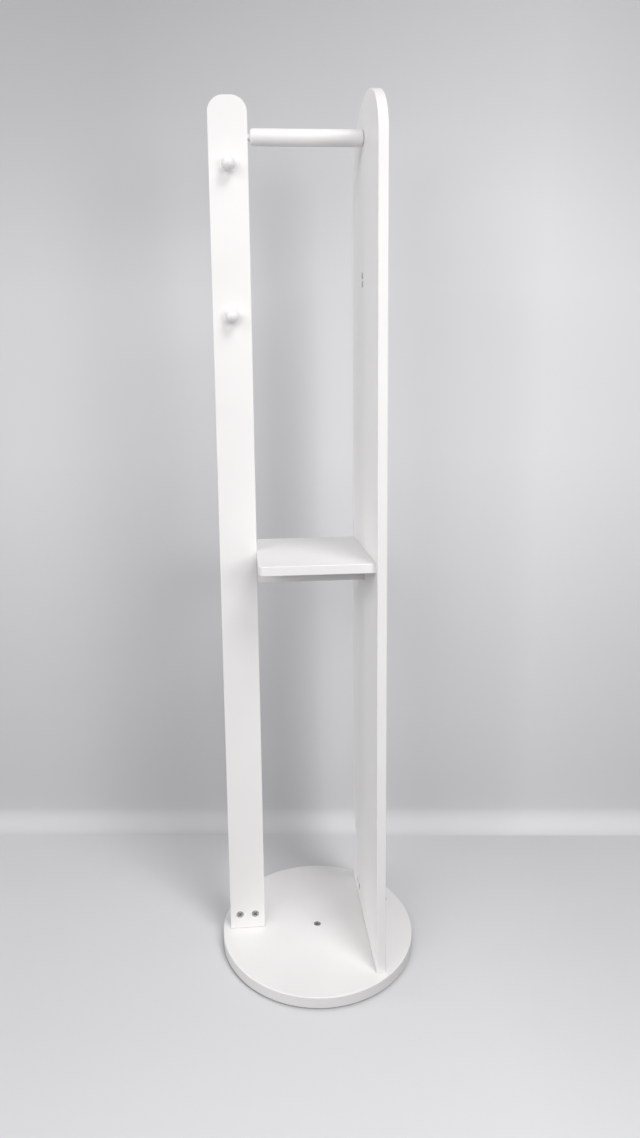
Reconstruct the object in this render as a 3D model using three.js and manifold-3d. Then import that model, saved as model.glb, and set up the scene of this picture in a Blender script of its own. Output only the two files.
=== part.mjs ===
// A revolving clothes stand, in millimetres, +Z up.
// The origin is on the floor, on the axis that the stand turns about.
// X runs from the hook upright to the wide board, and Y from the front to the rear.
// The ground plate, its feet and the lower race stand still, and the rest turns on the balls.

import * as THREE from 'three';
import { mergeVertices } from 'three/addons/utils/BufferGeometryUtils.js';
import Module from 'manifold-3d';

const wasm = await Module();
wasm.setup();

// Clearances
const FIT_GAP = 0.3;
const RUNNING_GAP = 0.3;
const CUT_OVERRUN = 1;
const MERGE_DISTANCE = 0.0001;

// Facet counts
const DISC_SIDES = 72;
const RING_SIDES = 48;
const TURNED_SIDES = 24;
const PIN_SIDES = 12;
const ARC_STEPS = 3;
const KNOB_STEPS = 9;
const CORNER_STEPS = 5;
const ARCH_STEPS = 14;
const BALL_STEPS = 6;

// Shares
const HALF_SHARE = 0.5;
const HOLLOW_HANDLE_SHARE = 0.45;

// Boards
const BOARD_THICKNESS = 18;
const BOARD_EASE = 1.5;

// Feet and ground plate
const FOOT_COUNT = 6;
const FOOT_HEIGHT = 3;
const FOOT_RADIUS = 13;
const FOOT_INSET = 16;
const GROUND_THICKNESS = 8;

// Ball bearing: two grooved races with a caged ring of balls between them
const BALL_COUNT = 12;
const BALL_RADIUS = 2.4;
const BALL_RING_RADIUS = 91;
const RACE_HALF_WIDTH = 14;
const RACE_THICKNESS = 2.4;
const GROOVE_DEPTH = 1.3;
const GROOVE_FLOOR_HALF_WIDTH = 1.1;
const GROOVE_MOUTH_HALF_WIDTH = 2.6;
const CAGE_HALF_WIDTH = 6;
const CAGE_THICKNESS = 1;

// Base disc, hollow underneath
const DISC_RADIUS = 200;
const DISC_THICKNESS = 22;
const DISC_RIM_GAP = 5;
const DISC_EASE = 2;
const DISC_RIM_WIDTH = 44;
const RECESS_CLEARANCE = 6;

// Hook upright
const UPRIGHT_RIM_DISTANCE = 15.5;
const UPRIGHT_WIDTH = 72.5;
const UPRIGHT_FRONT = 0;
const STAND_HEIGHT = 1658;
const UPRIGHT_CORNER_RADIUS = 30;

// Wide board, with an arched top and a hollow in its rear edge above the foot
const WIDE_RIM_DISTANCE = 80.5;
const WIDE_CORNER_MARGIN = 8.6;
const WIDE_ARCH_HEIGHT = 112;
const HOLLOW_BOTTOM = 22;
const HOLLOW_MIDDLE = 100;
const HOLLOW_TOP = 192;
const HOLLOW_DEPTH = 42;

// Hanging rail
const RAIL_RADIUS = 15;
const RAIL_DROP = 70;
const RAIL_END_ROUNDING = 6;
const RAIL_NECK_LENGTH = 4;
const TENON_RADIUS = 6;
const TENON_LENGTH = 18;

// Ball knobs
const KNOB_RADIUS = 13;
const KNOB_NECK_RADIUS = 6;
const KNOB_NECK_LENGTH = 3.5;
const KNOB_FOOT_RADIUS = 7.5;
const KNOB_DROPS = { knob_upper: 122, knob_lower: 391 };

// Shelf and stretcher
const SHELF_TOP = 816;
const SHELF_SETBACK = 14.5;
const SHELF_CORNER_RADIUS = 14;
const STRETCHER_DEPTH = 45;
const DOWEL_RADIUS = 4;
const DOWEL_LENGTH = 36;
const DOWEL_PITCH = 23;

// Steel angles at the feet
const ANGLE_THICKNESS = 2.5;
const ANGLE_HEIGHT = 50;
const ANGLE_REACH = 42;
const ANGLE_BEND_RADIUS = 1.5;
const ANGLE_EDGE = 12;
const ANGLE_SCREW_REACH = 30;
const FOOT_BOLT_HEIGHT = 32;
const FOOT_BOLT_OVERHANG = 4;
const UPRIGHT_BOLT_PITCH = 32;
const WIDE_BOLT_PITCH = 24;
const WIDE_ANGLE_INSET = 67.5;

// Screws and bolts
const BOLT_HEAD_RADIUS = 7.2;
const BOLT_HEAD_HEIGHT = 3.5;
const BOLT_RADIUS = 3;
const SCREW_HEAD_RADIUS = 4;
const SCREW_HEAD_HEIGHT = 2.5;
const SCREW_RADIUS = 2;
const PAN_HEAD_RADIUS = 6;
const PAN_HEAD_HEIGHT = 3.5;
const RACE_SCREW_COUNT = 3;
const RACE_SCREW_HEAD_RADIUS = 3.2;
const RACE_SCREW_HEAD_HEIGHT = 1.5;
const RACE_SCREW_RADIUS = 1.5;
const LOWER_RACE_SCREW_COVER = 1.5;
const UPPER_RACE_SCREW_COVER = 2.5;
const FLOOR_SCREW_COVER = 1.5;
const FOOT_SCREW_BITE = 40;
const FOOT_SCREW_RIM_INSET = 10.5;
const END_SCREW_BITE = 32;
const SHELF_SCREW_INSET = 45;
const STRETCHER_SCREW_INSET = 45;
const STRETCHER_SCREW_POCKET = 24;
const STRETCHER_SCREW_BITE = 12;
const KNOB_SCREW_BITE = 14;
const SPARE_SCREW_COVER = 2;
const SPARE_SCREW_RISE = 1.2;
const SPARE_SCREW_PITCH = 15;
const SPARE_SCREW_DROP = 322;
const SPARE_SCREW_Y = 18;

// Pivot parts under the ground plate
const POCKET_CLEARANCE = 1.5;
const WASHER_RADIUS = 9;
const WASHER_THICKNESS = 1;
const NUT_CORNER_RADIUS = 5.8;
const NUT_SIDES = 6;
const NUT_HEIGHT = 4;
const NUT_FLOOR_GAP = 1;

// Heights above the floor
const groundTop = FOOT_HEIGHT + GROUND_THICKNESS;
const lowerRaceTop = groundTop + RACE_THICKNESS;
const ballCentre = lowerRaceTop - GROOVE_DEPTH + BALL_RADIUS;
const upperRaceBottom = ballCentre + BALL_RADIUS - GROOVE_DEPTH;
const recessCeiling = upperRaceBottom + RACE_THICKNESS;
const discTop = DISC_RIM_GAP + DISC_THICKNESS;
const discWeb = discTop - recessCeiling;
const standTop = discTop + STAND_HEIGHT;
const railHeight = standTop - RAIL_DROP;
const shelfTop = discTop + SHELF_TOP;
const shelfBottom = shelfTop - BOARD_THICKNESS;
const stretcherBottom = shelfBottom - STRETCHER_DEPTH;
const nutTop = NUT_FLOOR_GAP + NUT_HEIGHT;
const washerTop = nutTop + WASHER_THICKNESS;
const pocketTop = washerTop + RUNNING_GAP;

// Places across the stand
const recessRadius = DISC_RADIUS - DISC_RIM_WIDTH;
const groundRadius = recessRadius - RECESS_CLEARANCE;
const footRingRadius = groundRadius - FOOT_INSET;
const footScrewRing = recessRadius + FOOT_SCREW_RIM_INSET;
const uprightLeft = UPRIGHT_RIM_DISTANCE - DISC_RADIUS;
const uprightRight = uprightLeft + UPRIGHT_WIDTH;
const uprightMiddle = uprightLeft + UPRIGHT_WIDTH * HALF_SHARE;
const uprightRear = UPRIGHT_FRONT + BOARD_THICKNESS;
const railY = UPRIGHT_FRONT + BOARD_THICKNESS * HALF_SHARE;
const wideOuterFace = DISC_RADIUS - WIDE_RIM_DISTANCE;
const wideInnerFace = wideOuterFace - BOARD_THICKNESS;
const wideMiddle = wideOuterFace - BOARD_THICKNESS * HALF_SHARE;
const wideHalfWidth = Math.sqrt((DISC_RADIUS - WIDE_CORNER_MARGIN) ** 2 - wideOuterFace ** 2);
const wideAngleY = wideHalfWidth - WIDE_ANGLE_INSET;
const shelfHalfDepth = wideHalfWidth - SHELF_SETBACK;
const footScrewY = -Math.sqrt(footScrewRing ** 2 - wideMiddle ** 2);
const spanWidth = wideInnerFace - uprightRight;
const shelfMiddleHeight = shelfTop - BOARD_THICKNESS * HALF_SHARE;
const stretcherMiddleHeight = shelfBottom - STRETCHER_DEPTH * HALF_SHARE;
const raceScrewRing = BALL_RING_RADIUS + (GROOVE_MOUTH_HALF_WIDTH + RACE_HALF_WIDTH) * HALF_SHARE;

// Directions
const UP = new THREE.Vector3(0, 0, 1);
const DOWN = UP.clone().negate();
const RIGHT = new THREE.Vector3(1, 0, 0);
const LEFT = RIGHT.clone().negate();
const REAR = new THREE.Vector3(0, 1, 0);
const FRONT = REAR.clone().negate();

// Finishes
const paint = () => new THREE.MeshStandardMaterial({ color: 0xf1f1ef, roughness: 0.45, metalness: 0 });
const steel = () => new THREE.MeshStandardMaterial({ color: 0xb4b6b8, roughness: 0.35, metalness: 1 });
const plywood = () => new THREE.MeshStandardMaterial({ color: 0xc9ac80, roughness: 0.7, metalness: 0 });
const beech = () => new THREE.MeshStandardMaterial({ color: 0xd2ae7f, roughness: 0.65, metalness: 0 });
const rubber = () => new THREE.MeshStandardMaterial({ color: 0x2b2b2c, roughness: 0.9, metalness: 0 });
const nylon = () => new THREE.MeshStandardMaterial({ color: 0xe4e2da, roughness: 0.6, metalness: 0 });

function point(x, y, z) {
  return new THREE.Vector3(x, y, z);
}

function mesh(name, geometry, material) {
  const piece = new THREE.Mesh(geometry, material);
  piece.name = name;
  return piece;
}

// A closed geometry as a solid that can be joined and cut
function solid(geometry) {
  const bare = geometry.clone();
  bare.deleteAttribute('normal');
  bare.deleteAttribute('uv');
  const merged = mergeVertices(bare, MERGE_DISTANCE);
  return new wasm.Manifold(new wasm.Mesh({
    numProp: merged.attributes.position.itemSize,
    vertProperties: new Float32Array(merged.attributes.position.array),
    triVerts: new Uint32Array(merged.index.array),
  }));
}

function geometryOf(body) {
  const { vertProperties, triVerts, numProp } = body.getMesh();
  const geometry = new THREE.BufferGeometry();
  geometry.setAttribute('position', new THREE.BufferAttribute(vertProperties, numProp));
  geometry.setIndex(new THREE.BufferAttribute(triVerts, 1));
  geometry.computeVertexNormals();
  return geometry;
}

function cut(geometry, cutters) {
  let body = solid(geometry);
  for (const cutter of cutters) {
    body = body.subtract(solid(cutter));
  }
  return geometryOf(body);
}

function join(geometry, additions) {
  let body = solid(geometry);
  for (const addition of additions) {
    body = body.add(solid(addition));
  }
  return geometryOf(body);
}

// A turned solid about Z, from [radius, height] pairs that climb along its outside
function turned(outline, sides) {
  const profile = outline.map(([radius, height]) => new THREE.Vector2(radius, height));
  const geometry = new THREE.LatheGeometry(profile, sides);
  geometry.rotateX(Math.PI * HALF_SHARE);
  return geometry;
}

// Points of an arc in a turned outline
function arc(radius, height, size, startAngle, endAngle, steps) {
  return Array.from({ length: steps + 1 }, (_, step) => {
    const angle = THREE.MathUtils.lerp(startAngle, endAngle, step / steps);
    return [radius + size * Math.cos(angle), height + size * Math.sin(angle)];
  });
}

// A turned ring whose section is a closed list of [radius, height] pairs
function ring(section, sides) {
  return turned([...section, section[0]], sides);
}

// A geometry whose +Z is turned to the given direction and moved to a place
function aimed(geometry, place, direction) {
  const turn = new THREE.Quaternion().setFromUnitVectors(UP, direction);
  geometry.applyQuaternion(turn);
  geometry.translate(place.x, place.y, place.z);
  return geometry;
}

function cylinder(radius, start, end, sides) {
  const axis = new THREE.Vector3().subVectors(end, start);
  const length = axis.length();
  const outline = [[0, 0], [radius, 0], [radius, length], [0, length]];
  return aimed(turned(outline, sides), start, axis.normalize());
}

// A flat board with eased edges, from its outline, with its lower face at height 0
function easedBoard(shape, thickness, steps) {
  const geometry = new THREE.ExtrudeGeometry(shape, {
    depth: thickness - 2 * BOARD_EASE,
    bevelEnabled: true,
    bevelThickness: BOARD_EASE,
    bevelSize: BOARD_EASE,
    bevelOffset: -BOARD_EASE,
    bevelSegments: 1,
    curveSegments: steps,
  });
  geometry.translate(0, 0, BOARD_EASE);
  return geometry;
}

// Stands a board that is drawn in (x, z), with its front face at the given y
function standFacingFront(geometry, thickness, frontY) {
  geometry.applyMatrix4(new THREE.Matrix4().makeBasis(RIGHT, UP, FRONT));
  geometry.translate(0, frontY + thickness, 0);
  return geometry;
}

// Stands a board that is drawn in (y, z), with its left face at the given x
function standFacingSide(geometry, leftX) {
  geometry.applyMatrix4(new THREE.Matrix4().makeBasis(REAR, UP, RIGHT));
  geometry.translate(leftX, 0, 0);
  return geometry;
}

// Fasteners: each kind has a flat-bottomed head and a plain shank
const FRAME_BOLT = { headRadius: BOLT_HEAD_RADIUS, headHeight: BOLT_HEAD_HEIGHT, radius: BOLT_RADIUS };
const WOOD_SCREW = { headRadius: SCREW_HEAD_RADIUS, headHeight: SCREW_HEAD_HEIGHT, radius: SCREW_RADIUS };
const PAN_SCREW = { headRadius: PAN_HEAD_RADIUS, headHeight: PAN_HEAD_HEIGHT, radius: SCREW_RADIUS };
const RACE_SCREW = {
  headRadius: RACE_SCREW_HEAD_RADIUS,
  headHeight: RACE_SCREW_HEAD_HEIGHT,
  radius: RACE_SCREW_RADIUS,
};

// The middle of a fastener's head face is at its place, and the head looks out along its direction
function fastenerGeometry({ kind, place, out, length }) {
  const outline = [
    [0, -length],
    [kind.radius, -length],
    [kind.radius, -kind.headHeight],
    [kind.headRadius, -kind.headHeight],
    [kind.headRadius, 0],
    [0, 0],
  ];
  return aimed(turned(outline, PIN_SIDES), place, out);
}

// The hole is open outside the head for the depth of its pocket, where it has one
function fastenerHole({ kind, place, out, length, pocket = 0 }) {
  const outline = [
    [0, -length - FIT_GAP],
    [kind.radius + FIT_GAP, -length - FIT_GAP],
    [kind.radius + FIT_GAP, -kind.headHeight],
    [kind.headRadius + FIT_GAP, -kind.headHeight],
    [kind.headRadius + FIT_GAP, pocket + CUT_OVERRUN],
    [0, pocket + CUT_OVERRUN],
  ];
  return aimed(turned(outline, PIN_SIDES), place, out);
}

function raceScrews() {
  return Array.from({ length: RACE_SCREW_COUNT }, (_, index) => {
    const angle = (index / RACE_SCREW_COUNT) * 2 * Math.PI;
    const x = raceScrewRing * Math.cos(angle);
    const y = raceScrewRing * Math.sin(angle);
    return [
      {
        name: `lower_race_screw_${index + 1}`, kind: RACE_SCREW,
        length: RACE_THICKNESS + GROUND_THICKNESS - LOWER_RACE_SCREW_COVER,
        place: point(x, y, lowerRaceTop), out: UP, through: ['lower_race', 'ground_plate'],
      },
      {
        name: `upper_race_screw_${index + 1}`, kind: RACE_SCREW,
        length: RACE_THICKNESS + discWeb - UPPER_RACE_SCREW_COVER,
        place: point(x, y, upperRaceBottom), out: DOWN, through: ['upper_race', 'base_disc'],
      },
    ];
  }).flat();
}

// The bolts through both upright boards' feet, and the screws that hold their angles to the disc
function footFasteners() {
  const boltLength = BOARD_THICKNESS + ANGLE_THICKNESS + FOOT_BOLT_OVERHANG;
  const screwLength = SCREW_HEAD_HEIGHT + ANGLE_THICKNESS + discWeb - FLOOR_SCREW_COVER;
  const boltHeight = discTop + FOOT_BOLT_HEIGHT;
  const screwHeight = discTop + ANGLE_THICKNESS + SCREW_HEAD_HEIGHT;
  return [-1, 1].flatMap((side, index) => {
    const x = uprightMiddle + side * UPRIGHT_BOLT_PITCH * HALF_SHARE;
    const y = wideAngleY + side * WIDE_BOLT_PITCH * HALF_SHARE;
    const number = index + 1;
    return [
      {
        name: `upright_bolt_${number}`, kind: FRAME_BOLT, length: boltLength,
        place: point(x, UPRIGHT_FRONT, boltHeight), out: FRONT, through: ['hook_upright', 'upright_angle'],
      },
      {
        name: `upright_angle_screw_${number}`, kind: WOOD_SCREW, length: screwLength,
        place: point(x, uprightRear + ANGLE_SCREW_REACH, screwHeight), out: UP,
        through: ['upright_angle', 'base_disc'],
      },
      {
        name: `wide_bolt_${number}`, kind: FRAME_BOLT, length: boltLength,
        place: point(wideInnerFace, y, boltHeight), out: LEFT, through: ['wide_board', 'wide_angle'],
      },
      {
        name: `wide_angle_screw_${number}`, kind: WOOD_SCREW, length: screwLength,
        place: point(wideOuterFace + ANGLE_SCREW_REACH, y, screwHeight), out: UP,
        through: ['wide_angle', 'base_disc'],
      },
    ];
  });
}

// The screws that hold the shelf, its stretcher and the rail
function shelfFasteners() {
  const shelfScrewY = shelfHalfDepth - SHELF_SCREW_INSET;
  const pocketFloor = stretcherBottom + STRETCHER_SCREW_POCKET;
  const fromBoard = (name, y, z, inner) => ({
    name, kind: WOOD_SCREW, length: BOARD_THICKNESS + END_SCREW_BITE,
    place: point(wideOuterFace, y, z), out: RIGHT, through: ['wide_board', inner],
  });
  const fromBelow = (name, x) => ({
    name, kind: WOOD_SCREW, length: shelfBottom - pocketFloor + STRETCHER_SCREW_BITE,
    place: point(x, railY, pocketFloor), out: DOWN, through: ['stretcher', 'shelf'],
    pocket: STRETCHER_SCREW_POCKET,
  });
  return [
    fromBoard('shelf_screw_front', -shelfScrewY, shelfMiddleHeight, 'shelf'),
    fromBoard('shelf_screw_rear', shelfScrewY, shelfMiddleHeight, 'shelf'),
    fromBoard('stretcher_end_screw', railY, stretcherMiddleHeight, 'stretcher'),
    fromBoard('rail_screw', railY, railHeight, 'hanging_rail'),
    fromBelow('stretcher_screw_1', uprightRight + STRETCHER_SCREW_INSET),
    fromBelow('stretcher_screw_2', wideInnerFace - STRETCHER_SCREW_INSET),
  ];
}

function knobFasteners() {
  return Object.entries(KNOB_DROPS).map(([knob, drop]) => ({
    name: `${knob}_screw`, kind: WOOD_SCREW, length: BOARD_THICKNESS + KNOB_SCREW_BITE,
    place: point(uprightMiddle, uprightRear, standTop - drop), out: REAR, through: ['hook_upright', knob],
  }));
}

// Two screws in the middle of the wide board, whose heads stand a little proud of it
function spareFasteners() {
  const middle = standTop - SPARE_SCREW_DROP;
  const headFace = wideInnerFace - SPARE_SCREW_RISE;
  const length = SPARE_SCREW_RISE + BOARD_THICKNESS - SPARE_SCREW_COVER;
  return [['lower', -1], ['upper', 1]].map(([label, side]) => ({
    name: `wide_face_screw_${label}`, kind: PAN_SCREW, length, out: LEFT, through: ['wide_board'],
    place: point(headFace, SPARE_SCREW_Y, middle + side * SPARE_SCREW_PITCH * HALF_SHARE),
  }));
}

const pivotBolt = {
  name: 'pivot_bolt', kind: FRAME_BOLT, length: discTop - NUT_FLOOR_GAP,
  place: point(0, 0, discTop), out: UP, through: ['base_disc'],
};

// It runs up from a pocket in the disc's underside into the front of the wide board's foot
const wideFootScrew = {
  name: 'wide_foot_screw', kind: WOOD_SCREW, length: DISC_THICKNESS + FOOT_SCREW_BITE,
  place: point(wideMiddle, footScrewY, DISC_RIM_GAP), out: DOWN, through: ['base_disc', 'wide_board'],
};

const fasteners = [
  pivotBolt,
  wideFootScrew,
  ...raceScrews(),
  ...footFasteners(),
  ...shelfFasteners(),
  ...knobFasteners(),
  ...spareFasteners(),
];

// The holes of every fastener that goes through a piece
function fastenerHoles(piece) {
  return fasteners.filter(({ through }) => through.includes(piece)).map(fastenerHole);
}

function fastenerMeshes(prefixes) {
  const chosen = fasteners.filter(({ name }) => prefixes.some((prefix) => name.startsWith(prefix)));
  return chosen.map((fastener) => mesh(fastener.name, fastenerGeometry(fastener), steel()));
}

// Ground plate and feet
function groundPlate() {
  const plate = cylinder(groundRadius, point(0, 0, FOOT_HEIGHT), point(0, 0, groundTop), DISC_SIDES);
  const start = point(0, 0, FOOT_HEIGHT - CUT_OVERRUN);
  const boreEnd = point(0, 0, groundTop + CUT_OVERRUN);
  const pocket = cylinder(WASHER_RADIUS + POCKET_CLEARANCE, start, point(0, 0, pocketTop), TURNED_SIDES);
  const bore = cylinder(BOLT_RADIUS + RUNNING_GAP, start, boreEnd, PIN_SIDES);
  return mesh('ground_plate', cut(plate, [pocket, bore, ...fastenerHoles('ground_plate')]), plywood());
}

function feet() {
  return Array.from({ length: FOOT_COUNT }, (_, index) => {
    const angle = ((index + HALF_SHARE) / FOOT_COUNT) * 2 * Math.PI;
    const geometry = cylinder(FOOT_RADIUS, point(0, 0, 0), point(0, 0, FOOT_HEIGHT), PIN_SIDES);
    const foot = mesh(`foot_${index + 1}`, geometry, rubber());
    foot.position.set(footRingRadius * Math.cos(angle), footRingRadius * Math.sin(angle), 0);
    return foot;
  });
}

// A race is grooved for the balls on the side that the direction names, up or down
function race(name, backHeight, grooveSide) {
  const faceHeight = backHeight + grooveSide * RACE_THICKNESS;
  const floorHeight = faceHeight - grooveSide * GROOVE_DEPTH;
  const section = [
    [BALL_RING_RADIUS - RACE_HALF_WIDTH, backHeight],
    [BALL_RING_RADIUS + RACE_HALF_WIDTH, backHeight],
    [BALL_RING_RADIUS + RACE_HALF_WIDTH, faceHeight],
    [BALL_RING_RADIUS + GROOVE_MOUTH_HALF_WIDTH, faceHeight],
    [BALL_RING_RADIUS + GROOVE_FLOOR_HALF_WIDTH, floorHeight],
    [BALL_RING_RADIUS - GROOVE_FLOOR_HALF_WIDTH, floorHeight],
    [BALL_RING_RADIUS - GROOVE_MOUTH_HALF_WIDTH, faceHeight],
    [BALL_RING_RADIUS - RACE_HALF_WIDTH, faceHeight],
  ];
  const outward = grooveSide > 0 ? section : section.reverse();
  return mesh(name, cut(ring(outward, RING_SIDES), fastenerHoles(name)), steel());
}

function ball(index) {
  const angle = (index / BALL_COUNT) * 2 * Math.PI;
  const geometry = new THREE.SphereGeometry(BALL_RADIUS, BALL_STEPS, BALL_STEPS);
  geometry.rotateX(Math.PI * HALF_SHARE);
  geometry.translate(BALL_RING_RADIUS * Math.cos(angle), BALL_RING_RADIUS * Math.sin(angle), ballCentre);
  return geometry;
}

// The cage is a flat ring that carries its snapped-in balls
function ballCage() {
  const bottom = ballCentre - CAGE_THICKNESS * HALF_SHARE;
  const top = ballCentre + CAGE_THICKNESS * HALF_SHARE;
  const plate = ring([
    [BALL_RING_RADIUS - CAGE_HALF_WIDTH, bottom],
    [BALL_RING_RADIUS + CAGE_HALF_WIDTH, bottom],
    [BALL_RING_RADIUS + CAGE_HALF_WIDTH, top],
    [BALL_RING_RADIUS - CAGE_HALF_WIDTH, top],
  ], RING_SIDES);
  const balls = Array.from({ length: BALL_COUNT }, (_, index) => ball(index));
  return mesh('ball_cage', join(plate, balls), steel());
}

// Base disc with eased rims and the recess that hides the bearing
function baseDisc() {
  const bottomEdge = DISC_RIM_GAP + DISC_EASE;
  const topEdge = discTop - DISC_EASE;
  const rim = DISC_RADIUS - DISC_EASE;
  const quarter = Math.PI * HALF_SHARE;
  const outline = [
    [0, recessCeiling],
    [recessRadius, recessCeiling],
    [recessRadius, DISC_RIM_GAP],
    ...arc(rim, bottomEdge, DISC_EASE, -quarter, 0, ARC_STEPS),
    ...arc(rim, topEdge, DISC_EASE, 0, quarter, ARC_STEPS),
    [0, discTop],
  ];
  return mesh('base_disc', cut(turned(outline, DISC_SIDES), fastenerHoles('base_disc')), paint());
}

function pivotWasher() {
  const inner = BOLT_RADIUS + FIT_GAP;
  const section = [[inner, nutTop], [WASHER_RADIUS, nutTop], [WASHER_RADIUS, washerTop], [inner, washerTop]];
  return mesh('pivot_washer', ring(section, TURNED_SIDES), nylon());
}

function pivotNut() {
  const block = cylinder(NUT_CORNER_RADIUS, point(0, 0, NUT_FLOOR_GAP), point(0, 0, nutTop), NUT_SIDES);
  const boreStart = point(0, 0, NUT_FLOOR_GAP - CUT_OVERRUN);
  const boreEnd = point(0, 0, nutTop + CUT_OVERRUN);
  const bore = cylinder(BOLT_RADIUS + FIT_GAP, boreStart, boreEnd, PIN_SIDES);
  return mesh('pivot_nut', cut(block, [bore]), steel());
}

// Hook upright: a narrow board whose top corners are rounded
function hookUpright() {
  const archBase = standTop - UPRIGHT_CORNER_RADIUS;
  const leftCentre = uprightLeft + UPRIGHT_CORNER_RADIUS;
  const rightCentre = uprightRight - UPRIGHT_CORNER_RADIUS;
  const quarter = Math.PI * HALF_SHARE;
  const outline = new THREE.Shape();
  outline.moveTo(uprightLeft, discTop);
  outline.lineTo(uprightRight, discTop);
  outline.lineTo(uprightRight, archBase);
  outline.absarc(rightCentre, archBase, UPRIGHT_CORNER_RADIUS, 0, quarter);
  outline.lineTo(leftCentre, standTop);
  outline.absarc(leftCentre, archBase, UPRIGHT_CORNER_RADIUS, quarter, Math.PI);
  const flat = easedBoard(outline, BOARD_THICKNESS, CORNER_STEPS);
  const board = standFacingFront(flat, BOARD_THICKNESS, UPRIGHT_FRONT);
  const socket = cylinder(
    TENON_RADIUS + FIT_GAP,
    point(uprightRight - TENON_LENGTH - FIT_GAP, railY, railHeight),
    point(uprightRight + CUT_OVERRUN, railY, railHeight),
    PIN_SIDES,
  );
  const holes = [socket, ...dowelHoles(), ...fastenerHoles('hook_upright')];
  return mesh('hook_upright', cut(board, holes), paint());
}

// Wide board: arched top, and a hollow in the rear edge just above the foot
function wideBoard() {
  const springHeight = standTop - WIDE_ARCH_HEIGHT;
  const bottom = discTop + HOLLOW_BOTTOM;
  const middle = discTop + HOLLOW_MIDDLE;
  const top = discTop + HOLLOW_TOP;
  const deep = wideHalfWidth - HOLLOW_DEPTH;
  const lowHandle = (middle - bottom) * HOLLOW_HANDLE_SHARE;
  const highHandle = (top - middle) * HOLLOW_HANDLE_SHARE;
  const outline = new THREE.Shape();
  outline.moveTo(-wideHalfWidth, discTop);
  outline.lineTo(wideHalfWidth, discTop);
  outline.lineTo(wideHalfWidth, bottom);
  outline.bezierCurveTo(wideHalfWidth, bottom + lowHandle, deep, middle - lowHandle, deep, middle);
  outline.bezierCurveTo(deep, middle + highHandle, wideHalfWidth, top - highHandle, wideHalfWidth, top);
  outline.lineTo(wideHalfWidth, springHeight);
  outline.absellipse(0, springHeight, wideHalfWidth, WIDE_ARCH_HEIGHT, 0, Math.PI);
  const board = standFacingSide(easedBoard(outline, BOARD_THICKNESS, ARCH_STEPS), wideInnerFace);
  return mesh('wide_board', cut(board, fastenerHoles('wide_board')), paint());
}

// Rail: turned about its own axis, with a tenon, a neck and rounded ends
function hangingRail() {
  const quarter = Math.PI * HALF_SHARE;
  const endRadius = RAIL_RADIUS - RAIL_END_ROUNDING;
  const bodyStart = RAIL_NECK_LENGTH + RAIL_END_ROUNDING;
  const bodyEnd = spanWidth - RAIL_END_ROUNDING;
  const outline = [
    [0, -TENON_LENGTH],
    [TENON_RADIUS, -TENON_LENGTH],
    [TENON_RADIUS, RAIL_NECK_LENGTH],
    ...arc(endRadius, bodyStart, RAIL_END_ROUNDING, -quarter, 0, ARC_STEPS),
    ...arc(endRadius, bodyEnd, RAIL_END_ROUNDING, 0, quarter, ARC_STEPS),
    [0, spanWidth],
  ];
  const rail = aimed(turned(outline, TURNED_SIDES), point(uprightRight, railY, railHeight), RIGHT);
  return mesh('hanging_rail', cut(rail, fastenerHoles('hanging_rail')), paint());
}

// Knob: a ball on a short neck, turned about the line that it stands out along
function knob(name, drop) {
  const startAngle = -Math.acos(KNOB_NECK_RADIUS / KNOB_RADIUS);
  const centre = KNOB_NECK_LENGTH - KNOB_RADIUS * Math.sin(startAngle);
  const endAngle = Math.PI * HALF_SHARE;
  const ballArc = arc(0, centre, KNOB_RADIUS, startAngle, endAngle, KNOB_STEPS);
  const outline = [[0, 0], [KNOB_FOOT_RADIUS, 0], ...ballArc];
  const geometry = turned(outline, TURNED_SIDES);
  aimed(geometry, point(uprightMiddle, UPRIGHT_FRONT, standTop - drop), FRONT);
  return mesh(name, cut(geometry, fastenerHoles(name)), paint());
}

// Shelf: square against the wide board, its two free corners rounded
function shelf() {
  const cornerX = uprightRight + SHELF_CORNER_RADIUS;
  const cornerY = shelfHalfDepth - SHELF_CORNER_RADIUS;
  const quarter = Math.PI * HALF_SHARE;
  const outline = new THREE.Shape();
  outline.moveTo(wideInnerFace, -shelfHalfDepth);
  outline.lineTo(wideInnerFace, shelfHalfDepth);
  outline.lineTo(cornerX, shelfHalfDepth);
  outline.absarc(cornerX, cornerY, SHELF_CORNER_RADIUS, quarter, Math.PI);
  outline.lineTo(uprightRight, -cornerY);
  outline.absarc(cornerX, -cornerY, SHELF_CORNER_RADIUS, Math.PI, Math.PI + quarter);
  const board = easedBoard(outline, BOARD_THICKNESS, CORNER_STEPS);
  board.translate(0, 0, shelfBottom);
  return mesh('shelf', cut(board, fastenerHoles('shelf')), paint());
}

// Stretcher: a board on edge that the shelf rests on
function stretcher() {
  const outline = new THREE.Shape();
  outline.moveTo(uprightRight, stretcherBottom);
  outline.lineTo(wideInnerFace, stretcherBottom);
  outline.lineTo(wideInnerFace, shelfBottom);
  outline.lineTo(uprightRight, shelfBottom);
  const flat = easedBoard(outline, BOARD_THICKNESS, CORNER_STEPS);
  const board = standFacingFront(flat, BOARD_THICKNESS, UPRIGHT_FRONT);
  return mesh('stretcher', cut(board, [...dowelHoles(), ...fastenerHoles('stretcher')]), paint());
}

function dowelPlaces() {
  return [-1, 1].map((side) => {
    const height = stretcherMiddleHeight + side * DOWEL_PITCH * HALF_SHARE;
    return point(uprightRight, railY, height);
  });
}

function dowelAlong(place, radius, length) {
  const reach = RIGHT.clone().multiplyScalar(length * HALF_SHARE);
  return cylinder(radius, place.clone().sub(reach), place.clone().add(reach), PIN_SIDES);
}

function dowelHoles() {
  return dowelPlaces().map((place) => dowelAlong(place, DOWEL_RADIUS + FIT_GAP, DOWEL_LENGTH + 2 * FIT_GAP));
}

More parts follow.
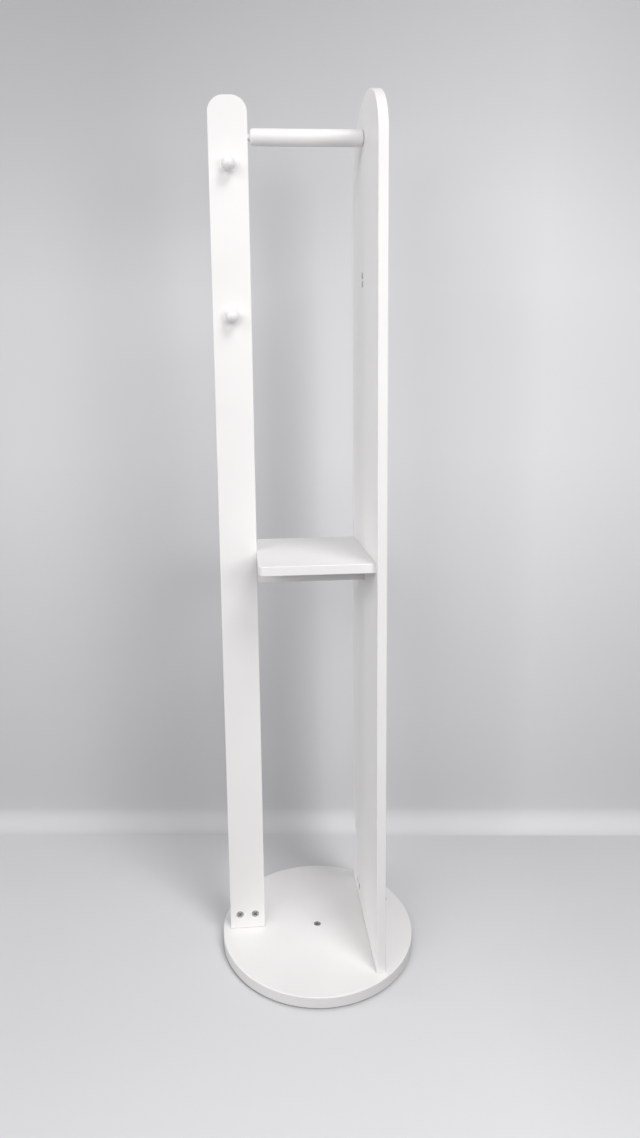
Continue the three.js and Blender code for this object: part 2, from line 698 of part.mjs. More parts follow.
function dowels() {
  return dowelPlaces().map((place, index) => (
    mesh(`stretcher_dowel_${index + 1}`, dowelAlong(place, DOWEL_RADIUS, DOWEL_LENGTH), beech())
  ));
}

// Steel angle: one leg on the disc, one leg up the board, with a rounded bend
function angleOutline(start) {
  const inner = ANGLE_THICKNESS + ANGLE_BEND_RADIUS;
  const quarter = Math.PI * HALF_SHARE;
  const outline = new THREE.Shape();
  outline.moveTo(start, discTop + ANGLE_HEIGHT);
  outline.lineTo(start, discTop + inner);
  outline.absarc(start + inner, discTop + inner, inner, Math.PI, Math.PI + quarter);
  outline.lineTo(start + ANGLE_REACH, discTop);
  outline.lineTo(start + ANGLE_REACH, discTop + ANGLE_THICKNESS);
  outline.lineTo(start + inner, discTop + ANGLE_THICKNESS);
  outline.absarc(start + inner, discTop + inner, ANGLE_BEND_RADIUS, Math.PI + quarter, Math.PI, true);
  outline.lineTo(start + ANGLE_THICKNESS, discTop + ANGLE_HEIGHT);
  return outline;
}

function angleStrip(start, width) {
  return new THREE.ExtrudeGeometry(angleOutline(start), {
    depth: width, bevelEnabled: false, curveSegments: ARC_STEPS,
  });
}

function uprightAngle() {
  const width = UPRIGHT_BOLT_PITCH + 2 * ANGLE_EDGE;
  const strip = standFacingSide(angleStrip(uprightRear, width), uprightMiddle - width * HALF_SHARE);
  return mesh('upright_angle', cut(strip, fastenerHoles('upright_angle')), steel());
}

function wideAngle() {
  const width = WIDE_BOLT_PITCH + 2 * ANGLE_EDGE;
  const strip = standFacingFront(angleStrip(wideOuterFace, width), width, wideAngleY - width * HALF_SHARE);
  return mesh('wide_angle', cut(strip, fastenerHoles('wide_angle')), steel());
}

const standing = new THREE.Group();
standing.add(
  groundPlate(),
  ...feet(),
  race('lower_race', groundTop, 1),
  ...fastenerMeshes(['lower_race_screw']),
);

const caged = new THREE.Group();
caged.add(ballCage());

const turning = new THREE.Group();
turning.add(
  baseDisc(),
  race('upper_race', recessCeiling, -1),
  ...fastenerMeshes(['upper_race_screw', 'pivot_bolt']),
  pivotWasher(),
  pivotNut(),
  hookUpright(),
  uprightAngle(),
  ...fastenerMeshes(['upright_bolt', 'upright_angle_screw']),
  wideBoard(),
  wideAngle(),
  ...fastenerMeshes(['wide_bolt', 'wide_angle_screw', 'wide_foot_screw', 'wide_face_screw']),
  hangingRail(),
  shelf(),
  stretcher(),
  ...dowels(),
  ...fastenerMeshes(['rail_screw', 'shelf_screw', 'stretcher_end_screw', 'stretcher_screw']),
  ...Object.entries(KNOB_DROPS).map(([name, drop]) => knob(name, drop)),
  ...fastenerMeshes(['knob_upper_screw', 'knob_lower_screw']),
);

const stand = new THREE.Group();
stand.add(standing, caged, turning);

export default stand;
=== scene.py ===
# The looks of a revolving clothes stand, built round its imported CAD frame.
# Metres and degrees, +Z up, in the frame's own place: X runs from the hook upright to the wide board.

import math

import bmesh
import bpy
from mathutils import Matrix, Vector


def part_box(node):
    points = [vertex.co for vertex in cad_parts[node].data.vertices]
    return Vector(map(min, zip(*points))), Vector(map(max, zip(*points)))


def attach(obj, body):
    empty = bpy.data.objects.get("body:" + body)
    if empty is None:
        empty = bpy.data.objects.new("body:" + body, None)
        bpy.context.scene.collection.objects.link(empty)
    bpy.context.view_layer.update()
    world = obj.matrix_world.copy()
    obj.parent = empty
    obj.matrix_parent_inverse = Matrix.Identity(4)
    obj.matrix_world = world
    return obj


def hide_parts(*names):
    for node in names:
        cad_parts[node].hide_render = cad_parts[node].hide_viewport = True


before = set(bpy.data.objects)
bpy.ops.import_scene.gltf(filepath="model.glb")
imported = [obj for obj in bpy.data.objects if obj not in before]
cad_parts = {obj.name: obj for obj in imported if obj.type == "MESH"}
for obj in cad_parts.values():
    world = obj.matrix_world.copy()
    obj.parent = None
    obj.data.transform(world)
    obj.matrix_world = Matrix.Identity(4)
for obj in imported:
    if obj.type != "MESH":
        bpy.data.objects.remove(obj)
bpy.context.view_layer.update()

MM = 0.001
FRONT, REAR = Vector((0, -1, 0)), Vector((0, 1, 0))
LEFT, RIGHT = Vector((-1, 0, 0)), Vector((1, 0, 0))
DOWN, UP = Vector((0, 0, -1)), Vector((0, 0, 1))

# Camera, fitted to the photograph's edges
CAMERA_PLACE = (-0.132304, -1.442242, 1.145226)
CAMERA_YAW = -3.98
CAMERA_PITCH = 8.51
CAMERA_ROLL = -0.80
PHOTO_WIDTH = 640
PHOTO_HEIGHT = 1138
FOCAL_PIXELS = 745.201
CENTRE_PIXEL = (296.686, 507.691)
SENSOR = 36
NEAREST = 0.01
FURTHEST = 100

# A cutter runs this far past what it cuts, and corners nearer than the second value are then joined
OVERRUN = 1 * MM
SLIVER = 0.004 * MM

# Boards
BOARD_EASE = 1.5 * MM
JOINT_RISE = 1.3 * MM
JOINT_DEPTH = 5 * MM
JOINT_REACH = 2 * MM
UPRIGHT_CORNER = 30 * MM
SHELF_CORNER = 14 * MM
ARCH_HEIGHT = 112 * MM
HOLLOW_BOTTOM = 22 * MM
HOLLOW_MIDDLE = 100 * MM
HOLLOW_TOP = 192 * MM
HOLLOW_DEPTH = 42 * MM
HOLLOW_HANDLE_SHARE = 0.45

# Base disc and the bearing that it hides
DISC_EASE = 2 * MM
DISC_LOWER_EASE = 0.6 * MM
RECESS_RADIUS = 156 * MM
RECESS_CEILING = 18 * MM
PIVOT_BORE = 3.3 * MM
PIVOT_HEAD_BORE = 7.5 * MM
PIVOT_HEAD_DEPTH = 3.5 * MM
PIVOT_HEAD_EASE = 0.3 * MM
GROUND_POCKET_RADIUS = 10.5 * MM
GROUND_POCKET_TOP = 6.3 * MM
PLATE_EASE = 0.8 * MM
PLY_THICKNESS = 1.6 * MM
BALL_RADIUS = 2.4 * MM
BALL_RING = 91 * MM
BALL_COUNT = 12
BALL_HEIGHT = 14.5 * MM
CAGE_HALF_WIDTH = 6 * MM
CAGE_HALF_HEIGHT = 0.5 * MM
RACE_HALF_WIDTH = 14 * MM
RACE_EASE = 0.3 * MM
GROOVE_HALF_WIDTH = 2.6 * MM
GROOVE_DEPTH = 1.3 * MM
FOOT_COUNT = 6
FOOT_EASE = 0.7 * MM
FOOT_DISH_DEPTH = 0.25 * MM
FOOT_DISH_SHARES = (0.45, 0.5)
WASHER_EASE = 0.15 * MM

# The lock nut's chamfer, how far the ring that cuts it passes the flats, corners and face, its turn
NUT_SIDES = 6
NUT_CHAMFER = 0.5 * MM
NUT_PAST_FLAT = 0.15 * MM
NUT_PAST_CORNER = 0.01 * MM
NUT_PAST_FACE = 0.05 * MM
NUT_RING_TURN = 1.3

# Turned pieces
RAIL_RADIUS = 15 * MM
RAIL_ROUNDING = 6 * MM
RAIL_NECK = 4 * MM
RAIL_NECK_EASE = 0.8 * MM
TENON_RADIUS = 6 * MM
TENON_LENGTH = 18 * MM
KNOB_RADIUS = 13 * MM
KNOB_NECK_RADIUS = 6 * MM
KNOB_FOOT_RADIUS = 7.5 * MM
KNOB_FOOT_EASE = 0.3 * MM
KNOB_FOOT_RIM = 0.6 * MM
KNOB_FLARE_IN = 0.8 * MM
KNOB_FLARE_OUT = 0.1 * MM
KNOB_FLARE_RISE = 1.4 * MM

# Fasteners: head radius, head height, shank radius
BOLT = (7.2 * MM, 3.5 * MM, 3 * MM)
PAN_SCREW = (6 * MM, 3.5 * MM, 2 * MM)
SCREW = (4 * MM, 2.5 * MM, 2 * MM)
RACE_SCREW = (3.2 * MM, 1.5 * MM, 1.5 * MM)
HOLE_GAP = 0.45 * MM
STRETCHER_POCKET = 24 * MM

# Thread, with the steps in one turn and those in which it starts and ends
THREAD_PITCH = 1 * MM
THREAD_DEPTH = 0.35 * MM
THREAD_LENGTH = 14 * MM
THREAD_STEPS = 6
THREAD_START_STEPS = 4
THREAD_END_STEPS = 3

# Shares of the shank's radius, of the head's height (two), of the head's easing and of its face
TIP_SHARE = 0.25
HEAD_EASE_SHARE = 0.22
HEAD_CROWN_SHARE = 0.10
HEAD_FOOT_SHARE = 0.4
HEAD_RING_SHARES = (0.7, 0.4)

# Cross recess, in shares of the head's radius, and of the recess itself for its mouth and floor
CROSS_REACH_SHARE = 0.66
CROSS_HALF_SHARE = 0.19
CROSS_DEPTH_SHARE = 0.42
CROSS_MOUTH_SHARE = 1.08
CROSS_FLOOR_SHARE = 0.66
CROSS_OVERRUN = 0.5 * MM

# Steel angles
ANGLE_THICKNESS = 2.5 * MM
ANGLE_BEND = 1.5 * MM
ANGLE_REACH = 42 * MM
ANGLE_TIP_CORNER = 5 * MM
ANGLE_EDGE = 0.3 * MM
ANGLE_SHARP = 60

# Sides and steps of round shapes
ROUND_SIDES = 160
RING_SIDES = 128
TURNED_SIDES = 96
SMALL_RING_SIDES = 64
FOOT_SIDES = 48
PIN_SIDES = 32
EASE_STEPS = 4
SMALL_EASE_STEPS = 3
RIM_EASE_STEPS = 6
RAIL_END_STEPS = 10
KNOB_STEPS = 32
KNOB_FLARE_STEPS = 6
ANGLE_BEND_STEPS = 8
ANGLE_TIP_STEPS = 6
ANGLE_ROUNDING_STEPS = 2
BALL_SUBDIVISIONS = 3
COVE_STEPS = 16
ARCH_STEPS = 96
CORNER_STEPS = 24
SHELF_CORNER_STEPS = 16
HOLLOW_STEPS = 18
GROOVE_STEPS = 8

# The angle past which an edge is kept sharp, and the distances at which points count as one
SHARP_EDGE = 35
SAME_PLACE = 0.001 * MM
WELD = 0.0001 * MM


# Camera

def add_camera():
    """The photograph's camera: yaw about the upright axis, then pitch, then roll."""
    yaw, pitch, roll = (math.radians(a) for a in (CAMERA_YAW, CAMERA_PITCH, CAMERA_ROLL))
    turn_yaw = Matrix.Rotation(-yaw, 3, "Z")
    level = Matrix(((1, 0, 0), (0, 0, -1), (0, 1, 0)))
    turn_pitch = Matrix.Rotation(pitch, 3, "X")
    turn_roll = Matrix.Rotation(roll, 3, "Z")
    right, down, ahead = turn_roll @ turn_pitch @ level @ turn_yaw
    axes = Matrix((right, -down, -ahead)).transposed().to_4x4()
    data = bpy.data.cameras.new("photo_camera")
    data.sensor_width = SENSOR
    data.lens = FOCAL_PIXELS * SENSOR / PHOTO_HEIGHT
    data.shift_x = (PHOTO_WIDTH / 2 - CENTRE_PIXEL[0]) / PHOTO_HEIGHT
    data.shift_y = (CENTRE_PIXEL[1] - PHOTO_HEIGHT / 2) / PHOTO_HEIGHT
    data.clip_start = NEAREST
    data.clip_end = FURTHEST
    camera = bpy.data.objects.new("photo_camera", data)
    camera.matrix_world = Matrix.Translation(CAMERA_PLACE) @ axes
    bpy.context.scene.collection.objects.link(camera)
    bpy.context.scene.camera = camera


# Materials

def node_adder(tree):
    """A function that adds a node to a tree, with its inputs set or linked and its settings made."""
    def add(kind, inputs=None, **settings):
        node = tree.nodes.new("ShaderNode" + kind)
        for key, value in settings.items():
            setattr(node, key, value)
        for key, value in (inputs or {}).items():
            if isinstance(value, bpy.types.NodeSocket):
                tree.links.new(value, node.inputs[key])
            else:
                node.inputs[key].default_value = value
        return node

    return add


def new_material(name):
    """A node material with its Principled shader, and functions that add to it and link to that."""
    material = bpy.data.materials.new(name)
    material.use_nodes = True
    tree = material.node_tree
    shader = next(n for n in tree.nodes if n.type == "BSDF_PRINCIPLED")

    def plug(socket, name):
        tree.links.new(socket, shader.inputs[name])

    return material, shader, node_adder(tree), plug


def linear(red, green, blue):
    """A colour given in screen values of 0 to 255, as the shader's linear numbers."""
    values = [c / 255 for c in (red, green, blue)]
    return (*(c / 12.92 if c <= 0.04045 else ((c + 0.055) / 1.055) ** 2.4 for c in values), 1)


def ramp(add, factor, stops):
    """A colour ramp over a factor, from (position, colour) pairs."""
    node = add("ValToRGB", {"Fac": factor})
    elements = node.color_ramp.elements
    elements.remove(elements[1])
    elements[0].position, elements[0].color = stops[0]
    for position, colour in stops[1:]:
        elements.new(position).color = colour
    return node.outputs["Color"]


def noise(add, vector, scale, detail=2.0, roughness=0.5):
    """A noise factor over a vector, with its scale in waves to a metre."""
    inputs = {"Vector": vector, "Scale": scale, "Detail": detail, "Roughness": roughness}
    return add("TexNoise", inputs).outputs["Fac"]


def stretch(add, vector, scales):
    """A vector scaled along X, Y and Z, so that a noise over it runs in streaks."""
    node = add("Mapping", {"Vector": vector, "Scale": scales})
    return node.outputs["Vector"]


def between(add, factor, low, high):
    """A noise factor, which mostly lies from 0.3 to 0.7, spread from a low value to a high one."""
    inputs = {"Value": factor, "From Min": 0.3, "From Max": 0.7, "To Min": low, "To Max": high}
    return add("MapRange", inputs).outputs["Result"]


def bump(add, plug, height, strength, distance, under=None):
    """A bump on the shader's surface, over another bump's normal if that is given."""
    inputs = {"Height": height, "Strength": strength, "Distance": distance}
    if under:
        inputs["Normal"] = under
    normal = add("Bump", inputs).outputs["Normal"]
    plug(normal, "Normal")
    return normal


def white_paint():
    """Satin white lacquer: a faint drift of tone, a fine rolled skin and a slightly uneven sheen."""
    material, shader, add, plug = new_material("white_paint")
    place = add("TexCoord").outputs["Object"]
    drift = noise(add, place, scale=5.0, detail=3.0)
    plug(ramp(add, drift, [(0.3, linear(241, 239, 238)), (0.7, linear(245, 244, 243))]), "Base Color")
    plug(between(add, noise(add, place, scale=60.0, detail=3.0), 0.36, 0.46), "Roughness")
    skin = noise(add, place, scale=700.0, detail=2.0)
    swell = noise(add, place, scale=90.0, detail=2.0)
    fine = bump(add, plug, skin, 0.10, 0.15 * MM)
    bump(add, plug, swell, 0.10, 0.6 * MM, under=fine)
    shader.inputs["Specular IOR Level"].default_value = 0.45
    return material


def zinc_steel():
    """Bright zinc plate that has dulled unevenly, with fine turning marks."""
    material, shader, add, plug = new_material("zinc_steel")
    place = add("TexCoord").outputs["Object"]
    cloud = noise(add, place, scale=260.0, detail=4.0, roughness=0.6)
    plug(ramp(add, cloud, [(0.3, linear(158, 158, 161)), (0.7, linear(188, 188, 189))]), "Base Color")
    plug(between(add, noise(add, place, scale=900.0, detail=3.0), 0.30, 0.46), "Roughness")
    marks = noise(add, stretch(add, place, (1.0, 1.0, 8.0)), scale=1500.0, detail=2.0)
    bump(add, plug, marks, 0.12, 0.05 * MM)
    shader.inputs["Metallic"].default_value = 1
    return material


def plywood():
    """Birch plywood: long grain on its faces and its plies on the edge."""
    material, shader, add, plug = new_material("plywood")
    place = add("TexCoord").outputs["Object"]
    grain = noise(add, stretch(add, place, (8.0, 90.0, 60.0)), scale=3.0, detail=6.0, roughness=0.62)
    face_stops = [
        (0.32, linear(188, 152, 108)),
        (0.52, linear(208, 177, 134)),
        (0.7, linear(219, 192, 152)),
    ]
    face = ramp(add, grain, face_stops)
    height = add("SeparateXYZ", {"Vector": place}).outputs["Z"]
    ply = add("Math", {0: height, 1: PLY_THICKNESS}, operation="DIVIDE").outputs["Value"]
    band = add("Math", {0: ply, 1: 1.0}, operation="PINGPONG").outputs["Value"]
    edge = ramp(add, band, [(0.4, linear(164, 124, 82)), (0.6, linear(206, 172, 126))])
    normal = add("NewGeometry").outputs["Normal"]
    upright = add("SeparateXYZ", {"Vector": normal}).outputs["Z"]
    flat = add("Math", {0: upright}, operation="ABSOLUTE").outputs["Value"]
    on_face = add("Math", {0: flat, 1: 0.7}, operation="GREATER_THAN").outputs["Value"]
    mixed = add("Mix", {"Factor": on_face, 6: edge, 7: face}, data_type="RGBA")
    plug(mixed.outputs[2], "Base Color")
    plug(between(add, grain, 0.62, 0.78), "Roughness")
    bump(add, plug, grain, 0.25, 0.2 * MM)
    return material


def beech():
    """Turned beech pins: short flecks along the pin."""
    material, shader, add, plug = new_material("beech")
    place = add("TexCoord").outputs["Object"]
    fleck = noise(add, stretch(add, place, (60.0, 700.0, 700.0)), scale=2.0, detail=5.0, roughness=0.6)
    plug(ramp(add, fleck, [(0.35, linear(184, 140, 96)), (0.65, linear(216, 180, 136))]), "Base Color")
    plug(between(add, fleck, 0.58, 0.72), "Roughness")
    bump(add, plug, fleck, 0.2, 0.1 * MM)
    return material


def rubber():
    """Dark moulded rubber, dusty and matt."""
    material, shader, add, plug = new_material("rubber")
    place = add("TexCoord").outputs["Object"]
    dust = noise(add, place, scale=180.0, detail=5.0, roughness=0.6)
    plug(ramp(add, dust, [(0.35, linear(34, 34, 35)), (0.75, linear(62, 61, 60))]), "Base Color")
    plug(between(add, dust, 0.78, 0.92), "Roughness")
    bump(add, plug, noise(add, place, scale=1600.0, detail=3.0), 0.3, 0.1 * MM)
    return material


def nylon():
    """Natural moulded nylon, slightly milky."""
    material, shader, add, plug = new_material("nylon")
    place = add("TexCoord").outputs["Object"]
    milk = noise(add, place, scale=240.0, detail=3.0)
    plug(ramp(add, milk, [(0.3, linear(222, 218, 206)), (0.7, linear(236, 233, 224))]), "Base Color")
    plug(between(add, milk, 0.42, 0.56), "Roughness")
    bump(add, plug, noise(add, place, scale=1200.0), 0.1, 0.05 * MM)
    return material


FINISHES = (white_paint, zinc_steel, plywood, beech, rubber, nylon)
MATERIALS = {make.__name__: make() for make in FINISHES}


# Mesh helpers

def new_object(name, mesh):
    piece = bpy.data.objects.new(name, mesh)
    bpy.context.scene.collection.objects.link(piece)
    return piece


def apply_modifiers(piece):
    """Turns the piece's modifiers into its mesh."""
    shown = piece.evaluated_get(bpy.context.evaluated_depsgraph_get())
    mesh = bpy.data.meshes.new_from_object(shown)
    piece.modifiers.clear()
    old, piece.data = piece.data, mesh
    mesh.name = piece.name
    bpy.data.meshes.remove(old)


def to_mesh(bm, name):
    bmesh.ops.remove_doubles(bm, verts=bm.verts, dist=WELD)
    bmesh.ops.recalc_face_normals(bm, faces=bm.faces)
    mesh = bpy.data.meshes.new(name)
    bm.to_mesh(mesh)
    bm.free()
    return mesh


def drop_slivers(mesh):
    """Joins the near-equal corners that a cut leaves, so that no face without area is kept."""
    bm = bmesh.new()
    bm.from_mesh(mesh)
    bmesh.ops.dissolve_degenerate(bm, dist=SLIVER, edges=bm.edges)
    bm.to_mesh(mesh)
    bm.free()


def add_piece(name, mesh, slot, body, nodes, cutters=()):
    """A finished piece: its holes cut, its flats kept flat, its material on, riding on its body."""
    piece = new_object(name, mesh)
    if cutters:
        tool = bmesh.new()
        for cutter in cutters:
            tool.from_mesh(cutter)
            bpy.data.meshes.remove(cutter)
        cutting = new_object(name + "_cutter", to_mesh(tool, name + "_cutter"))
        modifier = piece.modifiers.new("holes", "BOOLEAN")
        modifier.operation, modifier.solver, modifier.object = "DIFFERENCE", "EXACT", cutting
        apply_modifiers(piece)
        bpy.data.objects.remove(cutting)
        drop_slivers(piece.data)
    mesh = piece.data
    mesh.shade_smooth()
    mesh.set_sharp_from_angle(angle=math.radians(SHARP_EDGE))
    modifier = piece.modifiers.new("flats", "WEIGHTED_NORMAL")
    modifier.keep_sharp = True
    apply_modifiers(piece)
    piece.data.materials.clear()
    piece.data.materials.append(MATERIALS[slot])
    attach(piece, body)
    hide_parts(*nodes)
    return piece


def arc_points(centre, radius, start, end, steps):
    """Points on an arc."""
    angles = [math.radians(start + (end - start) * step / steps) for step in range(steps + 1)]
    return [(centre[0] + radius * math.cos(a), centre[1] + radius * math.sin(a)) for a in angles]


def curve_points(p0, p1, p2, p3, steps):
    """Points on a cubic curve from p0 to p3."""
    found = []
    for step in range(steps + 1):
        t = step / steps
        shares = ((1 - t) ** 3, 3 * (1 - t) ** 2 * t, 3 * (1 - t) * t * t, t ** 3)
        found.append(tuple(sum(s * p[i] for s, p in zip(shares, (p0, p1, p2, p3))) for i in (0, 1)))
    return found


def without_repeats(points):
    return [p for i, p in enumerate(points) if (Vector(p) - Vector(points[i - 1])).length > WELD]


def inset(points, distance):
    """A closed outline, drawn anticlockwise, moved inwards by a distance."""
    moved = []
    for index, point in enumerate(points):
        before = (Vector(point) - Vector(points[index - 1])).normalized()
        after = (Vector(points[(index + 1) % len(points)]) - Vector(point)).normalized()
        inward = Vector((-before.y - after.y, before.x + after.x))
        moved.append(Vector(point) + inward * (distance / (1 + before.dot(after))))
    return moved


def eased_board(outline, thickness, place):
    """A flat board with rounded edges. place turns (across, along, height) into a point."""
    outline = without_repeats(outline)
    bm = bmesh.new()
    levels = []
    for step in range(EASE_STEPS + 1):
        angle = math.pi / 2 * step / EASE_STEPS
        levels.append((BOARD_EASE * (1 - math.sin(angle)), BOARD_EASE * (1 - math.cos(angle))))
    levels += [(d, thickness - h) for d, h in reversed(levels)]
    loops = []
    for distance, height in levels:
        loops.append([bm.verts.new(place(p.x, p.y, height)) for p in inset(outline, distance)])
    bm.faces.new(loops[0][::-1])
    bm.faces.new(loops[-1])
    for low, high in zip(loops, loops[1:]):
        for index in range(len(low)):
            follows = (index + 1) % len(low)
            bm.faces.new((low[index], low[follows], high[follows], high[index]))
    return bm


def circle(radius, height, sides):
    """Points round Z, at a height."""
    angles = [2 * math.pi * side / sides for side in range(sides)]
    return [(radius * math.cos(a), radius * math.sin(a), height) for a in angles]


def join_rows(bm, low, high):
    """Faces between two rows of points round Z, one of which may be a single point."""
    sides = max(len(low), len(high))
    for i in range(sides):
        j = (i + 1) % sides
        if len(low) == 1 and len(high) > 1:
            bm.faces.new((low[0], high[j], high[i]))
        elif len(high) == 1 and len(low) > 1:
            bm.faces.new((low[i], low[j], high[0]))
        elif len(low) > 1:
            bm.faces.new((low[i], low[j], high[j], high[i]))


def spun(profile, sides, closed=False):
    """A solid of revolution about Z, from (radius, height) points. A closed profile makes a ring."""
    bm = bmesh.new()
    rows = []
    for radius, height in profile:
        if radius == 0:
            rows.append([bm.verts.new((0, 0, height))])
        else:
            rows.append([bm.verts.new(point) for point in circle(radius, height, sides)])
    pairs = list(zip(rows, rows[1:])) + ([(rows[-1], rows[0])] if closed else [])
    for low, high in pairs:
        join_rows(bm, low, high)
    return bm


def aim_matrix(direction, place, spin=0.0):
    """Turns +Z to a direction, after a spin about it, and moves it to a place."""
    turn = UP.rotation_difference(direction).to_matrix().to_4x4()
    return Matrix.Translation(place) @ turn @ Matrix.Rotation(math.radians(spin), 4, "Z")


def aim(bm, direction, place, spin=0.0):
    bmesh.ops.transform(bm, matrix=aim_matrix(direction, place, spin), verts=bm.verts)
    return bm


# Fasteners

# Name, kind, the way its head looks, the nodes that it goes through, its recess's turn
FASTENERS = [
    ("pivot_bolt", BOLT, UP, ["base_disc"], 45),
    ("upright_bolt_1", BOLT, FRONT, ["hook_upright", "upright_angle"], 40),
    ("upright_bolt_2", BOLT, FRONT, ["hook_upright", "upright_angle"], 50),
    ("wide_bolt_1", BOLT, LEFT, ["wide_board", "wide_angle"], 10),
    ("wide_bolt_2", BOLT, LEFT, ["wide_board", "wide_angle"], 33),
    ("upright_angle_screw_1", SCREW, UP, ["upright_angle", "base_disc"], 15),
    ("upright_angle_screw_2", SCREW, UP, ["upright_angle", "base_disc"], 62),
    ("wide_angle_screw_1", SCREW, UP, ["wide_angle", "base_disc"], 28),
    ("wide_angle_screw_2", SCREW, UP, ["wide_angle", "base_disc"], 71),
    ("wide_foot_screw", SCREW, DOWN, ["base_disc", "wide_board"], 5),
    ("wide_face_screw_lower", PAN_SCREW, LEFT, ["wide_board"], 12),
    ("wide_face_screw_upper", PAN_SCREW, LEFT, ["wide_board"], 38),
    ("rail_screw", SCREW, RIGHT, ["wide_board", "hanging_rail"], 25),
    ("shelf_screw_front", SCREW, RIGHT, ["wide_board", "shelf"], 44),
    ("shelf_screw_rear", SCREW, RIGHT, ["wide_board", "shelf"], 8),
    ("stretcher_end_screw", SCREW, RIGHT, ["wide_board", "stretcher"], 60),
    ("stretcher_screw_1", SCREW, DOWN, ["stretcher", "shelf"], 18),
    ("stretcher_screw_2", SCREW, DOWN, ["stretcher", "shelf"], 49),
    ("knob_upper_screw", SCREW, REAR, ["hook_upright", "knob_upper"], 30),
    ("knob_lower_screw", SCREW, REAR, ["hook_upright", "knob_lower"], 3),
]
for number in (1, 2, 3):
    FASTENERS += [
        (f"lower_race_screw_{number}", RACE_SCREW, UP, ["lower_race", "ground_plate"], 20 * number),
        (f"upper_race_screw_{number}", RACE_SCREW, DOWN, ["upper_race", "base_disc"], 31 * number),
    ]

# Screws that are sunk below the face that they go into
POCKET_DEPTHS = {"stretcher_screw_1": STRETCHER_POCKET, "stretcher_screw_2": STRETCHER_POCKET}


def head_place(name, out):
    """The middle of a fastener's head face, and its whole length, from its CAD node."""
    low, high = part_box(name)
    middle, size = (low + high) / 2, high - low
    length = abs(size.dot(out))
    return middle + out * (length / 2), length


def hole(name, kind, out):
    """The cutter for a fastener's hole, open outside its head."""
    head_radius, head_height, shank_radius = kind
    place, length = head_place(name, out)
    outside = POCKET_DEPTHS.get(name, 0) + OVERRUN
    profile = [
        (0, -length - HOLE_GAP),
        (shank_radius + HOLE_GAP, -length - HOLE_GAP),
        (shank_radius + HOLE_GAP, -head_height),
        (head_radius + HOLE_GAP, -head_height),
        (head_radius + HOLE_GAP, outside),
        (0, outside),
    ]
    return to_mesh(aim(spun(profile, PIN_SIDES), out, place), "hole")


def holes(node, apart_from=None):
    """The cutters for a node's fasteners, apart from one whose hole the node's own shape has."""
    return [
        hole(name, kind, out)
        for name, kind, out, through, _ in FASTENERS
        if node in through and name != apart_from
    ]


def cross_recess(head_radius):
    """The cutter for a cross recess, tapered and sunk from the head's face."""
    reach = head_radius * CROSS_REACH_SHARE
    half = head_radius * CROSS_HALF_SHARE
    depth = head_radius * CROSS_DEPTH_SHARE
    bm = bmesh.new()
    rows = []
    for height, share in ((CROSS_OVERRUN, CROSS_MOUTH_SHARE), (-depth, CROSS_FLOOR_SHARE)):
        long, short = reach * share, half * share
        row = []
        for turn in range(4):
            spin = Matrix.Rotation(math.pi / 2 * turn, 3, "Z")
            for x, y in ((long, -short), (long, short), (short, short)):
                row.append(bm.verts.new(spin @ Vector((x, y, height))))
        rows.append(row)
    bm.faces.new(rows[0])
    bm.faces.new(rows[1][::-1])
    join_rows(bm, rows[1], rows[0])
    return to_mesh(bm, "recess")


def threaded(radius, start, end):
    """Rings of a screw thread about Z, from a start height up to an end height."""
    rows = []
    steps = max(2, round((end - start) / (THREAD_PITCH / THREAD_STEPS)))
    for step in range(steps + 1):
        height = start + (end - start) * step / steps
        fade = min(1.0, (step + 1) / THREAD_START_STEPS, (steps - step) / THREAD_END_STEPS)
        row = []
        for side in range(PIN_SIDES):
            wave = abs(((height / THREAD_PITCH - side / PIN_SIDES) % 1.0) * 2 - 1)
            cut_radius = radius - THREAD_DEPTH * (1 - wave) * fade
            angle = 2 * math.pi * side / PIN_SIDES
            row.append((cut_radius * math.cos(angle), cut_radius * math.sin(angle), height))
        rows.append(row)
    return rows


def fastener_mesh(name, kind, length):
    """A head with a softly crowned face over a threaded shank, looking along +Z."""
    head_radius, head_height, shank_radius = kind
    ease = head_height * HEAD_EASE_SHARE
    foot_ease = ease * HEAD_FOOT_SHARE
    crown = head_height * HEAD_CROWN_SHARE
    tip = shank_radius * TIP_SHARE
    thread_end = min(-head_height - 2 * THREAD_PITCH, THREAD_LENGTH - length)
    profile = [
        (shank_radius, -head_height),
        (head_radius - foot_ease, -head_height),
        (head_radius, foot_ease - head_height),
        *arc_points((head_radius - ease, -ease - crown), ease, 0, 90, EASE_STEPS),
        *(((head_radius - ease) * share, -crown * share * share) for share in HEAD_RING_SHARES),
    ]
    rows = [
        [(0, 0, -length)],
        circle(shank_radius - tip, -length, PIN_SIDES),
        *threaded(shank_radius, tip - length, thread_end),
        *(circle(radius, height, PIN_SIDES) for radius, height in profile),
        [(0, 0, 0)],
    ]
    bm = bmesh.new()
    made = [[bm.verts.new(point) for point in row] for row in rows]
    for low, high in zip(made, made[1:]):
        join_rows(bm, low, high)
    return to_mesh(bm, name)


def add_fasteners():
    for name, kind, out, _, spin in FASTENERS:
        place, length = head_place(name, out)
        mesh = fastener_mesh(name, kind, length)
        recess = cross_recess(kind[0])
        for part in (mesh, recess):
            part.transform(aim_matrix(out, place, spin))
        body = "ground" if name.startswith("lower_race") else "stand"
        add_piece("steel_" + name, mesh, "zinc_steel", body, [name], [recess])


# Boards

